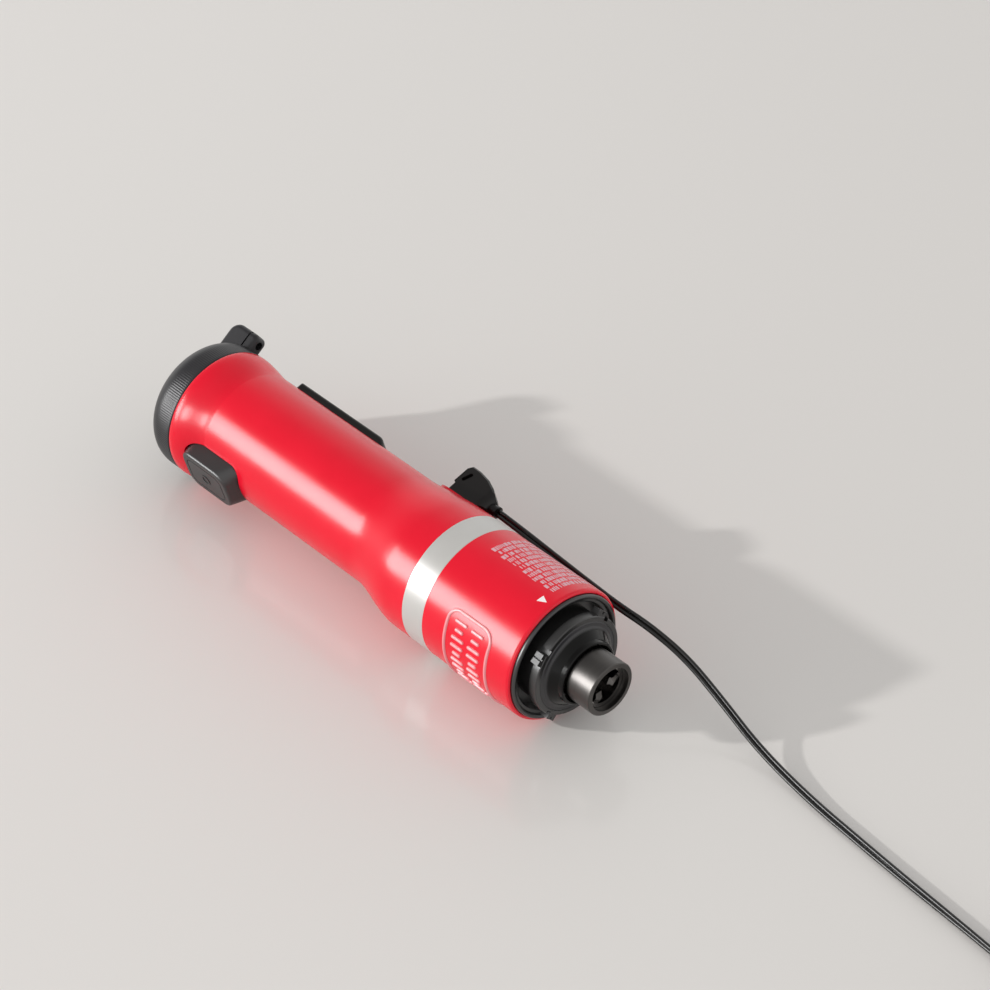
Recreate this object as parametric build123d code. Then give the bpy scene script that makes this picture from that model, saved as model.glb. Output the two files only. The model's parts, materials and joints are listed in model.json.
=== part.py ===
from build123d import *
import math
import os

# A cordless hand-blender motor unit lying on a table, with its charger lead plugged in.
# Each piece is modelled about the motor axis: +X runs from the speed dial to the drive end, with
# X = 0 at the front face of the nose; +Z points out of the trigger side and -Z out of the thumb
# side. settle() then rolls the unit into the way it lies and sets it on the table plane Z = 0.

# ---- driving dimensions, in mm -----------------------------------------------------------------
BARREL_R = 30.0  # radius of the barrel and of the dial end's lip, which the unit lies on
WALL = 2.2
GRIP_R = 25.95
GRIP_RISE = 2.1  # the grip's centre line lies this far towards the trigger side
REAR = -215.3  # rear end of the grip shells
CREASE = -198.7  # where the grip starts to flare out to the dial
LIP = -213.0
GRIP_FRONT = -104.0
NECK_FRONT = -74.0
SHELL_FRONT = -63.5
BAND_FRONT = -51.2
DIAL_R = 29.9
DIAL_SIDE = -222.8  # the dial is straight as far as here, then domed
DIAL_END = -238.5
DIAL_WALL = 3.0
DIAL_BORE_X = -233.0  # the shaft sits in the hub as far as here
DIAL_SHAFT_R = 3.0
GAP = 0.3  # air between pieces that move past each other

ROLL = 74.0  # degrees from straight up to the trigger side, as the unit lies
AXIS_X = 105.45  # where X = 0 and the axis lie in the finished frame
AXIS_Y = -0.267

# nose and drive
NOSE_R = 28.4
BEAD_R = 0.95  # the rounded bead round the nose's front face
BEAD_X = 0.6  # the bead starts to round over here
TROUGH_R = 24.6
TROUGH_X = -5.0
HUB_R = 20.9
FLANGE_R = 22.7
FLANGE_X0 = 4.2
FLANGE_X1 = 8.4
PLATE_R = 20.35
COLLAR_X = 14.9
COLLAR_R = 14.4
COLLAR_BORE = 13.0
SLEEVE_R = 12.1
SLEEVE_BORE = 9.9
SLEEVE_X0 = 5.5
SLEEVE_STEP_X = 15.2  # the sleeve is a little thinner behind this, inside the collar
SLEEVE_BACK_R = 11.8
SOCKET_SEAT_R = 9.7
SLEEVE_X1 = 27.6
SOCKET_X1 = 24.4
SOCKET_R = 8.0
SPLINE_R = 5.8
SPLINES = 6
LUGS = 4
LUG_ANGLE = 119.0  # of the first notch, from the trigger side
LUG_WIDE = 5.0  # each lug follows a notch round the flange
LUG_PROUD = 1.8
NOTCH_HALF = 1.3

# motor
SHAFT_R = 2.5
CAN_R = 21.0
CAN_WALL = 1.5
CAN_X0 = -62.0
CAN_X1 = -16.0
BEARING_R = 6.5
CORE_R = 15.6
POLES = 5
RUNNING = 0.05  # radial clearance of a running fit

# trigger
TRIGGER_X0 = -193.0
TRIGGER_X1 = -137.0
TRIGGER_HALF = 8.5
TRIGGER_TOP = 30.4
TRIGGER_UNDER = 19.5
PIVOT_X = -131.5
PIVOT_Z = 20.6
PIN_R = 1.5

# thumb button
BUTTON_X0 = -207.0
BUTTON_X1 = -178.4
BUTTON_BASE_X1 = -176.2
BUTTON_HALF = 10.8
BUTTON_FACE = -29.2
BUTTON_FLANGE = -17.4
BUTTON_CORNER = 7.0
BUTTON_BASE_CORNER = 4.5
BUTTON_RING_R = 2.6  # a small raised ring in the middle of the face
BUTTON_RING_PROUD = 0.25

# tab with hanging eye on the dial
TAB_X0 = -237.8
TAB_X1 = -221.5
TAB_TOP = 36.9
TAB_HALF = 4.3
TAB_ANGLE = 21.0  # the dial as it is set: the tab is turned this far from the trigger side
EYE_R = 1.9
EYE_Z = 33.1
TAB_GROOVE_X = -226.0
TAB_GROOVE = 0.8  # its width; it is a little less deep

# battery and boards
CELL_R = 9.2
CELL_X0 = -171.5
CELL_X1 = -106.3
CELL_Y = 9.6
CELL_Z = -5.0
BOARD_Z = 8.0
BOARD_THICK = 1.6

# charge port and plug
PORT_X0 = -104.0
PORT_X1 = -73.0
PORT_HALF = 8.5
PORT_LIP = 0.35
PORT_LEVEL = 29.7  # the lip's top where the grip is slimmer
PORT_WALL = 1.5
PORT_FLOOR = 26.2
JACK_X = -92.0
JACK_R = 2.8
PLUG_X0 = -99.8
PLUG_TOP = 44.7
PLUG_HALF = 5.2
NECK_END = -75.5
NECK_Z = 35.4
NECK_R = 2.4

# charger lead and adapter
CORD_R = 1.8
COIL_TURN_R = 20.0
COIL_COLUMNS = 5
COIL_LAYERS = 2
ADAPTER_LONG = 40.0
ADAPTER_WIDE = 30.0
ADAPTER_TALL = 26.0
ADAPTER_ASIDE = 6.0  # the lead enters this far from the middle of the adapter's end
PRONG_LONG = 15.0


# ---- shapes about the motor axis ---------------------------------------------------------------
def turned(*points):
    """A closed outline of (x, radius) points, turned about the motor axis."""
    outline = make_face(Polyline(*points, close=True))
    return revolve(Plane.XZ * outline, Axis.X, 360)


def tube(x0, x1, outer, inner):
    return turned((x0, inner), (x0, outer), (x1, outer), (x1, inner))


def rod(x0, x1, r, y=0.0, z=0.0):
    """A cylinder along X."""
    return Pos((x0 + x1) / 2, y, z) * Rot(0, 90, 0) * Cylinder(r, x1 - x0)


def cross_rod(x, z, r, y0, y1):
    """A cylinder along Y."""
    return Pos(x, (y0 + y1) / 2, z) * Rot(90, 0, 0) * Cylinder(r, y1 - y0)


def post(x, y, r, z0, z1):
    """A cylinder along Z."""
    return Pos(x, y, (z0 + z1) / 2) * Cylinder(r, z1 - z0)


def block(x0, x1, y0, y1, z0, z1):
    middle = Pos((x0 + x1) / 2, (y0 + y1) / 2, (z0 + z1) / 2)
    return middle * Box(x1 - x0, y1 - y0, z1 - z0)


def side_prism(half, *points):
    """A closed outline of (x, z) points, as wide as half on both sides of the middle plane."""
    outline = make_face(Polyline(*points, close=True))
    return extrude(Plane.XZ * outline, half, both=True)


def spun(shape, count, first=0.0):
    """count copies of a shape, evenly round the motor axis."""
    return [Rot(first + 360 * i / count, 0, 0) * shape for i in range(count)]


def spring(x, y, outer, wire, z0, z1, turns):
    """A compression spring along Z, as a stack of joined rings."""
    rise = (z1 - z0) / turns
    right = []
    left = []
    for i in range(turns):
        low = z0 + i * rise
        right += [(outer - wire / 2, low), (outer, low + rise / 2)]
        left += [(outer - wire, low), (outer - 1.5 * wire, low + rise / 2)]
    right.append((outer - wire / 2, z1))
    left.append((outer - wire, z1))
    outline = make_face(Polyline(*right, *reversed(left), close=True))
    return Pos(x, y, 0) * revolve(Plane.XZ * outline, Axis.Z, 360)


# ---- the outer form ----------------------------------------------------------------------------
def smooth(t):
    return t * t * (3 - 2 * t)


def hoop(x, swell, grow):
    """A round section, from the grip's size at swell 0 to the barrel's size at swell 1."""
    radius = GRIP_R + (BARREL_R - GRIP_R) * swell + grow
    centre = (x, 0, GRIP_RISE * (1 - swell))
    return Plane(origin=centre, x_dir=(0, 1, 0), z_dir=(1, 0, 0)) * Circle(radius)


def grip_form(grow=0.0):
    """The solid inside the grip's skin, with the skin moved out by grow."""
    steps = 6
    flare = [hoop(REAR, 0.95, grow)]
    for i in range(steps, -1, -1):
        t = i / steps
        flare.append(hoop(CREASE + (LIP - CREASE) * t, 0.35 * t + 0.65 * smooth(t), grow))
    neck = []
    for i in range(steps + 1):
        t = i / steps
        neck.append(hoop(GRIP_FRONT + (NECK_FRONT - GRIP_FRONT) * t, smooth(t), grow))
    grip = rod(CREASE, GRIP_FRONT, GRIP_R + grow, 0, GRIP_RISE)
    collar = rod(NECK_FRONT, SHELL_FRONT, BARREL_R + grow)
    return loft(flare) + grip + loft(neck) + collar


def stadium(x0, x1, half, z0, z1):
    """A plate with round ends, lying along X."""
    plan = Pos((x0 + x1) / 2, 0, z0) * SlotOverall(x1 - x0, 2 * half)
    return extrude(plan, z1 - z0)


def button_plan(x0, x1, half, corner):
    return Pos((x0 + x1) / 2, 0, 0) * RectangleRounded(x1 - x0, 2 * half, corner)


# ---- grip --------------------------------------------------------------------------------------
SHELL_SCREWS = ((-120.0, 14.5), (-203.0, 14.5), (-95.0, -12.0))
BOSS_R = 4.2
SCREW_R = 1.45
SCREW_TIP = -13.5
SCREW_SEAT = 6.0


def grip_shells():
    outside = grip_form()
    inside = grip_form(-WALL)
    inside += rod(SHELL_FRONT - 1, SHELL_FRONT + 1, BARREL_R - WALL)
    inside += rod(REAR - 1, REAR + 1, BARREL_R - WALL - 0.4)
    bosses = [cross_rod(x, z, BOSS_R, -30, 30) for x, z in SHELL_SCREWS]
    for side in (-1, 1):
        near, far = sorted((side * (TRIGGER_HALF + 0.9), side * 20.0))
        bosses.append(cross_rod(PIVOT_X, PIVOT_Z, PIN_R + 1.6, near, far))
    skin = grip_form(-WALL / 2)
    shell = outside - inside
    for boss in bosses:
        shell += boss & skin
    shell -= block(TRIGGER_X0 - 0.7, TRIGGER_X1 + 0.6, -8.85, 8.85, 15, 40)
    shell -= stadium(PORT_X0, PORT_X1, PORT_HALF, 10, 40)
    x0, x1 = BUTTON_X0 - 0.4, BUTTON_BASE_X1 + 0.4
    opening = button_plan(x0, x1, BUTTON_HALF + 0.35, BUTTON_BASE_CORNER + 0.35)
    shell -= extrude(Pos(0, 0, -40) * opening, 28)
    for x, z in SHELL_SCREWS:
        shell -= cross_rod(x, z, SCREW_R, SCREW_TIP - 1, 0)
        shell -= cross_rod(x, z, SCREW_R + 0.25, 0, 40)
        shell -= cross_rod(x, z, 3.1, SCREW_SEAT, 40)
    shell -= cross_rod(PIVOT_X, PIVOT_Z, PIN_R, -12.5, 12.5)
    left = shell & block(REAR - 5, 0, -40, 0, -40, 40)
    right = shell & block(REAR - 5, 0, 0, 40, -40, 40)
    return {"grip_shell_left": left, "grip_shell_right": right}


def shell_screws():
    screws = []
    for x, z in SHELL_SCREWS:
        screw = cross_rod(x, z, SCREW_R, SCREW_TIP, SCREW_SEAT)
        screw += cross_rod(x, z, 2.85, SCREW_SEAT, SCREW_SEAT + 2.2)
        screw -= cross_rod(x, z, 1.0, SCREW_SEAT + 1.0, SCREW_SEAT + 3)
        screws.append(screw)
    return {"shell_screws": screws}


# ---- barrel and nose ---------------------------------------------------------------------------
def barrel():
    spigot = 27.7
    cover = turned(
        (-70, 26.2),
        (-70, spigot),
        (BAND_FRONT, spigot),
        (BAND_FRONT, BARREL_R),
        (-1.3, BARREL_R),
        (-0.35, BARREL_R - 0.4),
        (0, BARREL_R - 1.0),
        (0, NOSE_R + 0.2),
        (-3.05, NOSE_R + 0.2),
        (-3.05, 27.9),
        (-46, 27.9),
        (-48, 26.2),
    )
    band = tube(SHELL_FRONT + 0.05, BAND_FRONT - 0.05, BARREL_R, spigot + 0.05)
    return {"barrel_cover": cover, "silver_band": band}


BADGE_X0 = -38.7
BADGE_X1 = -12.7
BADGE_HALF_ANGLE = 52.0
BADGE_PROUD = 0.7
DASHES = 4  # in each of the badge's two rows
DASH_STEP = 20.5  # degrees
DASH_ROW = 4.6
DASH_LONG = 7.6
DASH_WIDE = 3.0


def badge():
    """A raised pill-shaped frame on the thumb side of the barrel, with two rows of dashes in it."""
    middle = (BADGE_X0 + BADGE_X1) / 2
    wide = BADGE_X1 - BADGE_X0
    skin = tube(BADGE_X0 - 1, BADGE_X1 + 1, BARREL_R + BADGE_PROUD, BARREL_R)
    reach = 2 * BARREL_R * math.sin(math.radians(BADGE_HALF_ANGLE))
    frame = RectangleRounded(wide, reach, 6) - RectangleRounded(wide - 3, reach - 3, 4.5)
    raised = [extrude(Pos(middle, 0, -BARREL_R - 5) * frame, BARREL_R) & skin]
    for row in (-DASH_ROW, DASH_ROW):
        dash = Pos(middle + row, 0, -BARREL_R - 5) * RectangleRounded(DASH_WIDE, DASH_LONG, 1.4)
        solid = extrude(dash, BARREL_R)
        for i in range(DASHES):
            turn = DASH_STEP * (i - (DASHES - 1) / 2)
            raised.append((Rot(turn, 0, 0) * solid) & skin)
    return {"barrel_badge": raised}


def nose():
    bead = []
    for i in range(8):
        turn = math.radians(22.0 * i)
        bead.append((BEAD_X + BEAD_R * math.sin(turn), NOSE_R - BEAD_R * (1 - math.cos(turn))))
    cap = turned(
        (-12, 25.6),
        (-12, 27.8),
        (-3, 27.8),
        (-3, NOSE_R),
        *bead,
        (0, NOSE_R - 2.2),
        (0, TROUGH_R + 0.5),
        (-0.5, TROUGH_R),
        (TROUGH_X, TROUGH_R),
        (TROUGH_X, HUB_R),
        (FLANGE_X0, HUB_R),
        (FLANGE_X0, 17),
        (TROUGH_X - 2, 17),
        (TROUGH_X - 2, 25.6),
    )
    ring = turned(
        (FLANGE_X0, 16),
        (FLANGE_X0, FLANGE_R - 0.3),
        (FLANGE_X0 + 0.3, FLANGE_R),
        (FLANGE_X1 - 0.4, FLANGE_R),
        (FLANGE_X1, FLANGE_R - 0.4),
        (FLANGE_X1, PLATE_R + 0.1),
        (FLANGE_X1 - 2.2, PLATE_R + 0.1),
        (FLANGE_X1 - 2.2, 16),
    )
    x0, x1 = FLANGE_X0 + 0.2, FLANGE_X1 - 0.2
    foot, top = FLANGE_R - 1.5, FLANGE_R + LUG_PROUD
    notch = block(FLANGE_X0 - 1, FLANGE_X1 + 1, -NOTCH_HALF, NOTCH_HALF, foot, top + 1)
    lug = block(x0, x1, -NOTCH_HALF - LUG_WIDE, -NOTCH_HALF, foot, top)
    middle = -NOTCH_HALF - LUG_WIDE / 2
    lug -= block(FLANGE_X0, FLANGE_X1, middle - 0.4, middle + 0.4, FLANGE_R + 0.5, top + 1)
    for cut in spun(notch, LUGS, LUG_ANGLE):
        ring -= cut
    for stop in spun(lug, LUGS, LUG_ANGLE):
        ring += stop
    collar = turned(
        (FLANGE_X1 - 2.2, COLLAR_BORE),
        (FLANGE_X1 - 2.2, PLATE_R),
        (FLANGE_X1 - 0.1, PLATE_R),
        (FLANGE_X1 + 0.2, PLATE_R - 0.4),
        (FLANGE_X1 + 0.4, 18.6),
        (FLANGE_X1 + 1.2, 17.2),
        (COLLAR_X - 2.2, COLLAR_R + 0.3),
        (COLLAR_X - 0.4, COLLAR_R),
        (COLLAR_X, COLLAR_R - 0.4),
        (COLLAR_X, COLLAR_BORE + 0.3),
        (COLLAR_X - 0.3, COLLAR_BORE),
    )
    seal = turned(
        (6.4, SLEEVE_BACK_R + 2 * RUNNING),
        (6.4, COLLAR_BORE),
        (9.0, COLLAR_BORE),
        (9.0, SLEEVE_BACK_R + 0.6),
        (8.2, SLEEVE_BACK_R + 2 * RUNNING),
    )
    return {
        "nose_cap": cap,
        "bayonet_ring": ring,
        "drive_collar": collar,
        "shaft_seal": seal,
    }


# ---- drive and motor ---------------------------------------------------------------------------
def drive():
    sleeve = turned(
        (SLEEVE_X0, SOCKET_SEAT_R),
        (SLEEVE_X0, SLEEVE_BACK_R),
        (SLEEVE_STEP_X, SLEEVE_BACK_R),
        (SLEEVE_STEP_X, SLEEVE_R),
        (SLEEVE_X1 - 0.4, SLEEVE_R),
        (SLEEVE_X1, SLEEVE_R - 0.4),
        (SLEEVE_X1, SLEEVE_BORE),
        (SOCKET_X1, SLEEVE_BORE),
        (SOCKET_X1, SOCKET_SEAT_R),
    )
    socket = rod(SLEEVE_X0, SOCKET_X1, SOCKET_SEAT_R) - rod(10, SOCKET_X1 + 1, SOCKET_R)
    rib = block(10, SOCKET_X1 - 3.5, -1.5, 1.5, SPLINE_R, SOCKET_R + 0.8)
    for spline in spun(rib, SPLINES, 15):
        socket += spline
    socket -= rod(SLEEVE_X0 - 1, 11, SHAFT_R)
    shaft = rod(-70, 9.6, SHAFT_R)
    return {"drive_sleeve": sleeve, "drive_socket": socket, "motor_shaft": shaft}


def rotor():
    x0, x1 = -50.0, -24.0
    inner, shoe = 7.0, 13.4
    core = tube(x0, x1, inner, SHAFT_R)
    shoes = tube(x0, x1, CORE_R, shoe)
    tooth = block(x0, x1, -2.5, 2.5, inner - 0.5, shoe + 0.5)
    mouth = block(x0 - 1, x1 + 1, -1.2, 1.2, shoe - 1, CORE_R + 1)
    for cut in spun(mouth, POLES, 36):
        shoes -= cut
    core += shoes
    for piece in spun(tooth, POLES):
        core += piece
    coils = tube(x0 - 3, x1 + 3, shoe - 0.1, inner + 0.1)
    for gap in spun(block(x0 - 4, x1 + 4, -2.6, 2.6, inner - 1, shoe + 1), POLES):
        coils -= gap
    commutator = tube(-60.5, -54, 5.2, SHAFT_R) + tube(-55, -54, 5.8, SHAFT_R)
    fan = tube(-20.6, -18.2, 5, SHAFT_R)
    for blade in spun(block(-20.6, -18.2, -0.4, 0.4, 4.5, 15), 8):
        fan += blade
    return {
        "rotor_core": core,
        "rotor_windings": coils.solids(),
        "commutator": commutator,
        "cooling_fan": fan,
    }


def motor_frame():
    wall = CAN_R - CAN_WALL
    can = turned(
        (CAN_X0, wall),
        (CAN_X0, CAN_R),
        (CAN_X1, CAN_R),
        (CAN_X1, 8.75),
        (-11.6, 8.75),
        (-11.6, 3.6),
        (-12.2, 3.6),
        (-12.2, BEARING_R),
        (CAN_X1 - 1.6, BEARING_R),
        (CAN_X1 - 1.6, wall),
    )
    arc = tube(-52, -22, wall, CORE_R + 0.6)
    magnets = []
    for side in (-1, 1):
        near, far = sorted((side * 8.5, side * 25))
        magnets.append(arc & block(-52, -22, -25, 25, near, far))
    end_cap = tube(CAN_X0 - 4, CAN_X0, CAN_R, 4.6)
    brushes = []
    for side in (-1, 1):
        inner, outer = sorted((side * 6.2, side * 12.5))
        holder = block(CAN_X0, -54.6, inner, outer, -3.2, 3.2)
        end_cap += holder - block(-59.55, -55.45, -14, 14, -2.05, 2.05)
        inner, outer = sorted((side * 4.0, side * 11.5))
        brush = block(-59.5, -55.5, inner, outer, -2, 2)
        brushes.append(brush - rod(-60, -55, 5.2 + RUNNING))
    rear_bearing = tube(CAN_X0 - 4, CAN_X0, 4.6, SHAFT_R + RUNNING)
    front_bearing = tube(CAN_X1 - 1.4, -12.2, BEARING_R, SHAFT_R + RUNNING)
    mount = tube(CAN_X1, -12, 27.4, 9.0)
    screws = []
    for side in (-1, 1):
        y = 14.0 * side
        hole = rod(-18, -11, 1.4, y)
        mount -= hole
        can -= hole
        screw = rod(-17.6, -12, 1.4, y) + rod(-12, -10, 2.6, y)
        screws.append(screw - rod(-11, -9, 1.0, y))
    damper = tube(-60, -54, 26.2, CAN_R)
    return {
        "motor_can": can,
        "motor_magnets": magnets,
        "motor_end_cap": end_cap,
        "carbon_brushes": brushes,
        "rear_bearing": rear_bearing,
        "front_bearing": front_bearing,
        "motor_mount": mount,
        "motor_screws": screws,
        "motor_damper": damper,
    }


# ---- battery, boards and switches --------------------------------------------------------------
def battery():
    cells = {}
    for number, side in ((1, -1), (2, 1)):
        cell = rod(CELL_X0, CELL_X1 - 1.5, CELL_R, side * CELL_Y, CELL_Z)
        cell += rod(CELL_X1 - 1.5, CELL_X1, 3.5, side * CELL_Y, CELL_Z)
        cells[f"battery_cell_{number}"] = cell
    tray_x0 = CELL_X0 - 1.0
    tray_x1 = CELL_X1 + 1.0
    tray = block(tray_x0, tray_x1, -17.5, 17.5, 4.6, 6.4)
    tray += block(tray_x0 - 1.4, tray_x0, -16, 16, -13, 6.4)
    tray += block(tray_x1, tray_x1 + 1.4, -16, 16, -13, 6.4)
    for x in (-153.0, -111.0):
        for y in (-11.0, 11.0):
            tray += post(x, y, 1.6, 6.0, BOARD_Z)
    strips = []
    for x in (CELL_X0 - 0.4, CELL_X1 + 0.1):
        strips.append(block(x, x + 0.3, -14, 14, CELL_Z - 3, CELL_Z + 3))
    return {**cells, "cell_tray": tray, "cell_strips": strips}


def electronics():
    top = BOARD_Z + BOARD_THICK
    board = block(-157, -107, -14, 14, BOARD_Z, top)
    parts = [
        block(-152, -142, -5, 5, top, top + 1.8),
        block(-138, -133, -11, -5, top, top + 2.2),
        block(-138, -133, 5, 11, top, top + 2.2),
        post(-110.9, 0, 3.2, top, top + 6.0),
    ]
    parts += [block(-130, -128, y, y + 1.2, top, top + 0.9) for y in (-8, -4, 0, 4)]
    jack = block(JACK_X - 5.5, JACK_X + 5.5, -5, 5, 13.5, 24.3)
    jack -= post(JACK_X, 0, JACK_R, 15, 30)
    jack += post(JACK_X, 0, 0.8, 14, 23)
    jack_board = block(-101, -83, -7, 7, 11.9, 13.5)
    pot = rod(-211.5, -204, 8) - rod(-212, -203, DIAL_SHAFT_R + RUNNING)
    leads = []
    for side in (-1, 1):
        points = [(-106.8, 8, 9), (-97, 9.5, 7.5), (-80, 11, 4.5), (-66.7, 12, 1)]
        path = FilletPolyline(*[(x, side * y, z) for x, y, z in points], radius=10)
        start = Plane(origin=path @ 0, z_dir=path % 0)
        leads.append(sweep(start * Circle(0.9), path=path))
    return {
        "main_board": board,
        "board_parts": parts,
        "charge_jack": jack,
        "jack_board": jack_board,
        "speed_potentiometer": pot,
        "motor_leads": leads,
    }


def switches():
    frame = block(-200, -176, -14.5, 14.5, -6, 6.5) - block(-201, -175, -13, 13, -4.5, 5)
    trigger_switch = block(-190, -178, -3.2, 3.2, 6.5, 13.5) + post(-184, 0, 1.2, 13.5, 14.5)
    lock_switch = block(-191, -179, -3, 3, -13, -6) + post(-185, 0, 1.2, -14, -13)
    return {
        "switch_frame": frame,
        "trigger_switch": trigger_switch,
        "lock_switch": lock_switch,
    }


# ---- controls ----------------------------------------------------------------------------------
def trigger():
    corners = [
        (TRIGGER_X0, TRIGGER_UNDER),
        (TRIGGER_X0, TRIGGER_TOP),
        (TRIGGER_X1, TRIGGER_TOP),
        (TRIGGER_X1, TRIGGER_UNDER),
    ]
    side = Plane.XZ * make_face(Polyline(*corners, close=True))
    tops = side.vertices().sort_by(Axis.Z)[-2:].sort_by(Axis.X)
    side = fillet([tops[-1]], 5.0)
    bar = extrude(side, TRIGGER_HALF, both=True)
    bar = fillet([e for e in bar.edges() if abs(e.center().Y) > 1 and e.center().Z > 22.5], 1.4)
    rear = bar.edges().filter_by(Axis.Y).sort_by(Axis.X)[:2].sort_by(Axis.Z)[-1]
    bar = fillet([rear], 0.8)
    bar += block(TRIGGER_X1 - 1, PIVOT_X + 2.6, -TRIGGER_HALF, TRIGGER_HALF, 18.0, 23.2)
    bar += block(TRIGGER_X0 - 3.2, TRIGGER_X0 + 1, -6, 6, TRIGGER_UNDER, TRIGGER_UNDER + 3)
    hollow = block(TRIGGER_X0 + 2, TRIGGER_X1 - 2, -6.5, 6.5, TRIGGER_UNDER - 1, 27.5)
    floor = block(TRIGGER_X0 + 2, TRIGGER_X1 - 2, -6.5, 6.5, TRIGGER_UNDER, 21.5)
    bar = bar - hollow + floor
    bar += post(-184, 0, 1.6, 17.0, TRIGGER_UNDER + 0.5)
    bar -= cross_rod(PIVOT_X, PIVOT_Z, PIN_R + RUNNING, -20, 20)
    pin = cross_rod(PIVOT_X, PIVOT_Z, PIN_R, -12.2, 12.2)
    coil = spring(-165, 0, 3.4, 0.8, 6.5, TRIGGER_UNDER - 0.05, 6)
    return {"trigger_bar": bar, "trigger_pin": pin, "trigger_spring": coil}


def thumb_button():
    base_z = -22.0
    base = button_plan(BUTTON_X0, BUTTON_BASE_X1, BUTTON_HALF, BUTTON_BASE_CORNER)
    face = button_plan(BUTTON_X0, BUTTON_X1, BUTTON_HALF - 0.3, BUTTON_CORNER - 0.3)
    cap = loft([Pos(0, 0, BUTTON_FACE) * face, Pos(0, 0, base_z) * base], ruled=True)
    cap = fillet(cap.faces().sort_by(Axis.Z)[0].edges(), 1.3)
    line = []
    for inset in (3.0, 3.45):
        x0, x1 = BUTTON_X0 + inset, BUTTON_X1 - inset
        line.append(button_plan(x0, x1, BUTTON_HALF - 0.3 - inset, BUTTON_CORNER - inset))
    cap -= extrude(Pos(0, 0, BUTTON_FACE) * (line[0] - line[1]), 0.3)
    middle = (BUTTON_X0 + BUTTON_X1) / 2
    top = BUTTON_FACE - BUTTON_RING_PROUD
    ring = post(middle, 0, BUTTON_RING_R, top, BUTTON_FACE + 0.5)
    cap += ring - post(middle, 0, BUTTON_RING_R - 0.7, top - 1, BUTTON_FACE + 1)
    cap += extrude(Pos(0, 0, base_z) * base, BUTTON_FLANGE - base_z)
    rim = button_plan(BUTTON_X0 - 1.8, BUTTON_BASE_X1 + 1.8, BUTTON_HALF + 1.5, BUTTON_CORNER)
    cap += extrude(Pos(0, 0, BUTTON_FLANGE) * rim, 1.5)
    coil = spring(-197, 0, 3.2, 0.8, BUTTON_FLANGE + 1.55, -6.05, 5)
    return {"lock_button": cap, "lock_spring": coil}


def dome_arc(radius, x_end, stop):
    """A quarter ellipse from the straight side towards the middle, as far as radius stop."""
    size = 90 - math.degrees(math.asin(stop / radius))
    return EllipticalCenterArc(
        (DIAL_SIDE, 0), DIAL_SIDE - x_end, radius, start_angle=90, arc_size=size
    )


def dial():
    """A domed cap with a hub inside it, its hanging tab, its shaft and the plate it turns on."""
    face = REAR - GAP
    hub_r = 5.0
    flat_r = 1.0  # the dome's middle is flat this far out
    outer = dome_arc(DIAL_R, DIAL_END, flat_r)
    inner = dome_arc(DIAL_R - DIAL_WALL, DIAL_END + DIAL_WALL, hub_r)
    middle = ((outer @ 1).X, 0)
    section = [
        Line((face, DIAL_R), outer @ 0),
        outer,
        Line(outer @ 1, middle),
        Line(middle, (DIAL_BORE_X, 0)),
        Line((DIAL_BORE_X, 0), (DIAL_BORE_X, DIAL_SHAFT_R)),
        Line((DIAL_BORE_X, DIAL_SHAFT_R), (face, DIAL_SHAFT_R)),
        Line((face, DIAL_SHAFT_R), (face, hub_r)),
        Line((face, hub_r), inner @ 1),
        inner,
        Line(inner @ 0, (face, DIAL_R - DIAL_WALL)),
        Line((face, DIAL_R - DIAL_WALL), (face, DIAL_R)),
    ]
    body = revolve(Plane.XZ * make_face(section), Axis.X, 360)
    filled = [
        section[0],
        outer,
        section[2],
        Line(middle, (face, 0)),
        Line((face, 0), (face, DIAL_R)),
    ]
    corners = [(TAB_X1, 20), (TAB_X1, TAB_TOP), (TAB_X0, TAB_TOP), (TAB_X0, 12)]
    side = Plane.XZ * make_face(Polyline(*corners, close=True))
    rear_top, front_top = side.vertices().sort_by(Axis.Z)[-2:].sort_by(Axis.X)
    side = fillet([front_top], 2.8)
    rear_top = side.vertices().sort_by(Axis.X)[:2].sort_by(Axis.Z)[-1]
    side = fillet([rear_top], 5.0)
    tab = extrude(side, TAB_HALF, both=True)
    tab = fillet([e for e in tab.edges() if abs(e.center().Y) > 1 and e.center().Z > 13], 2.2)
    tab -= rod(TAB_X0 - 5, TAB_X1 + 5, EYE_R, 0, EYE_Z)
    x0, x1 = TAB_GROOVE_X - TAB_GROOVE, TAB_GROOVE_X
    groove = block(x0, x1, -TAB_HALF - 1, TAB_HALF + 1, 0, TAB_TOP + 1)
    depth = 0.6
    groove -= block(x0 - 1, x1 + 1, depth - TAB_HALF, TAB_HALF - depth, -1, TAB_TOP - depth)
    tab -= groove
    tab = Rot(TAB_ANGLE, 0, 0) * tab - revolve(Plane.XZ * make_face(filled), Axis.X, 360)
    shaft = rod(DIAL_BORE_X, -205, DIAL_SHAFT_R)
    plate = tube(REAR, REAR + 2.5, 27.2, DIAL_SHAFT_R + RUNNING)
    plate += tube(REAR - 3.7, REAR, 26.3, 24.3)
    return {"speed_dial": body, "hanging_tab": tab, "dial_shaft": shaft, "end_plate": plate}


# ---- charge port, lead and adapter -------------------------------------------------------------
def charge_port():
    level = rod(PORT_X0 - 5, PORT_X1 + 5, PORT_LEVEL) + grip_form(PORT_LIP)
    cup = stadium(PORT_X0, PORT_X1, PORT_HALF, PORT_FLOOR - 1.8, 40) & level
    x0, x1 = PORT_X0 + PORT_WALL, PORT_X1 - PORT_WALL
    cup -= stadium(x0, x1, PORT_HALF - PORT_WALL, PORT_FLOOR, 45)
    cup -= post(JACK_X, 0, JACK_R + 0.5, 20, 30)
    return {"port_cup": cup}


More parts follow.
